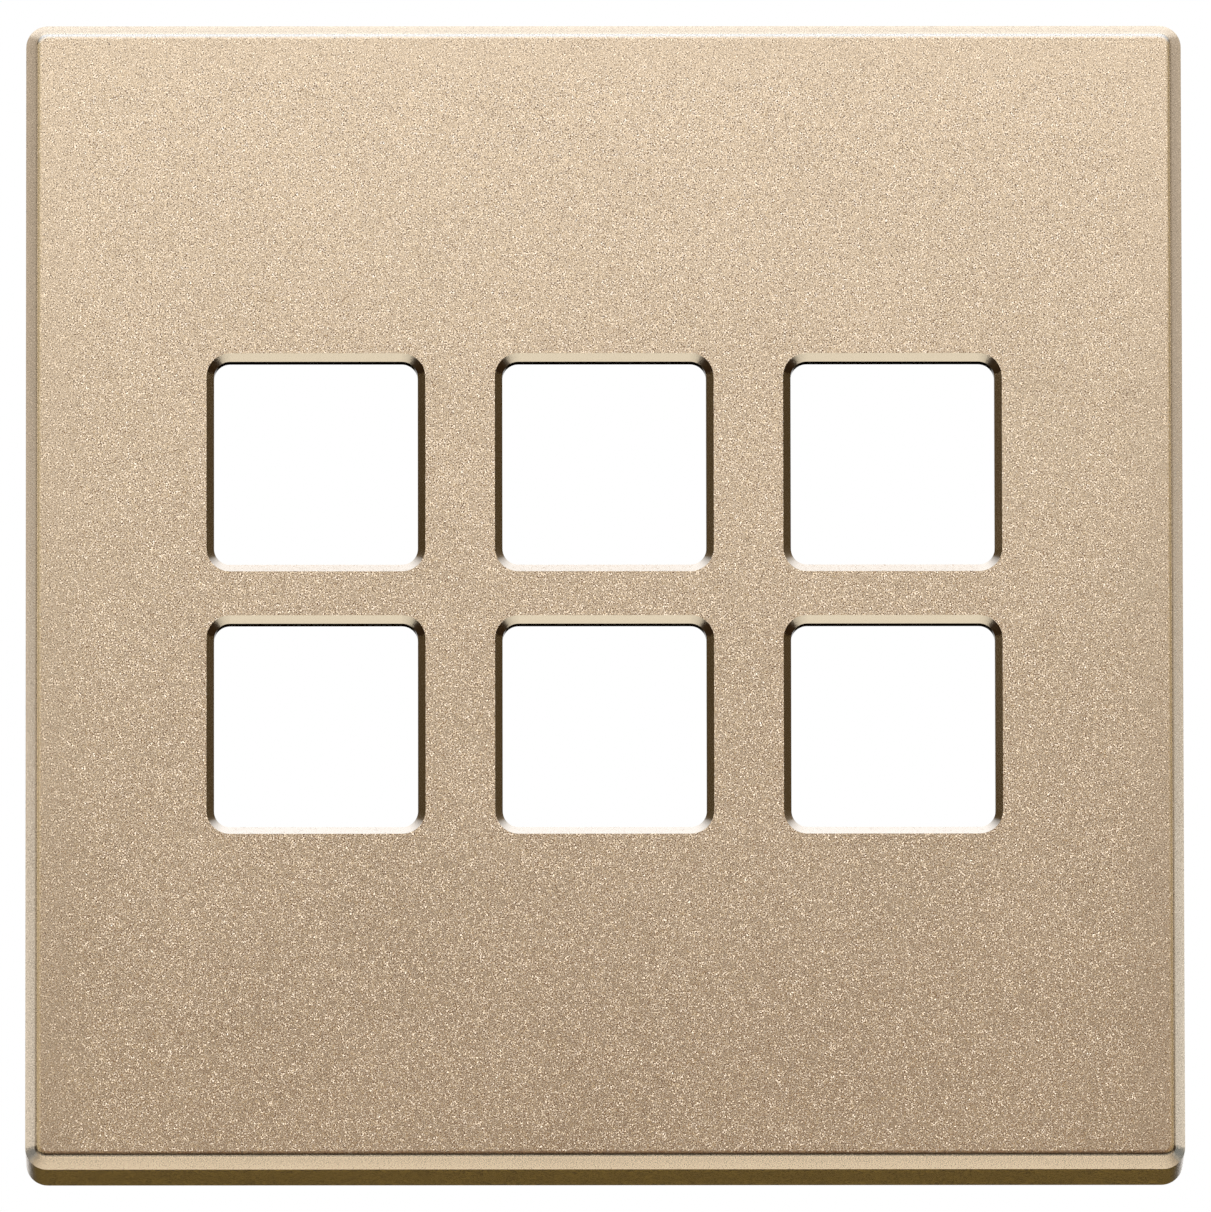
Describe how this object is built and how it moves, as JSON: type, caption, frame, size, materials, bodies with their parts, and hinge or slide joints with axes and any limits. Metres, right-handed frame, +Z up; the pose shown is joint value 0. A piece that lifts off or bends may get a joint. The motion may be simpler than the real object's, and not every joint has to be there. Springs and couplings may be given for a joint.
{
  "type": "switch cover plate",
  "caption": "Square metal switch cover plate with a bevelled edge, a grid of bevelled key windows and a skirt that clips over a wall mounting frame.",
  "frame": {"origin": "middle of the rear rim, in the plane that lies against the wall", "axes": "+X to the right and +Z up as the plate hangs on the wall, -Y out of the face, +Y into the wall"},
  "size_m": [0.0904, 0.0105, 0.0904],
  "materials": {
    "champagne_metal": "fine bead-blasted matt, champagne anodised"
  },
  "bodies": {
    "root": {"cover_plate": "champagne_metal"}
  },
  "joints": []
}
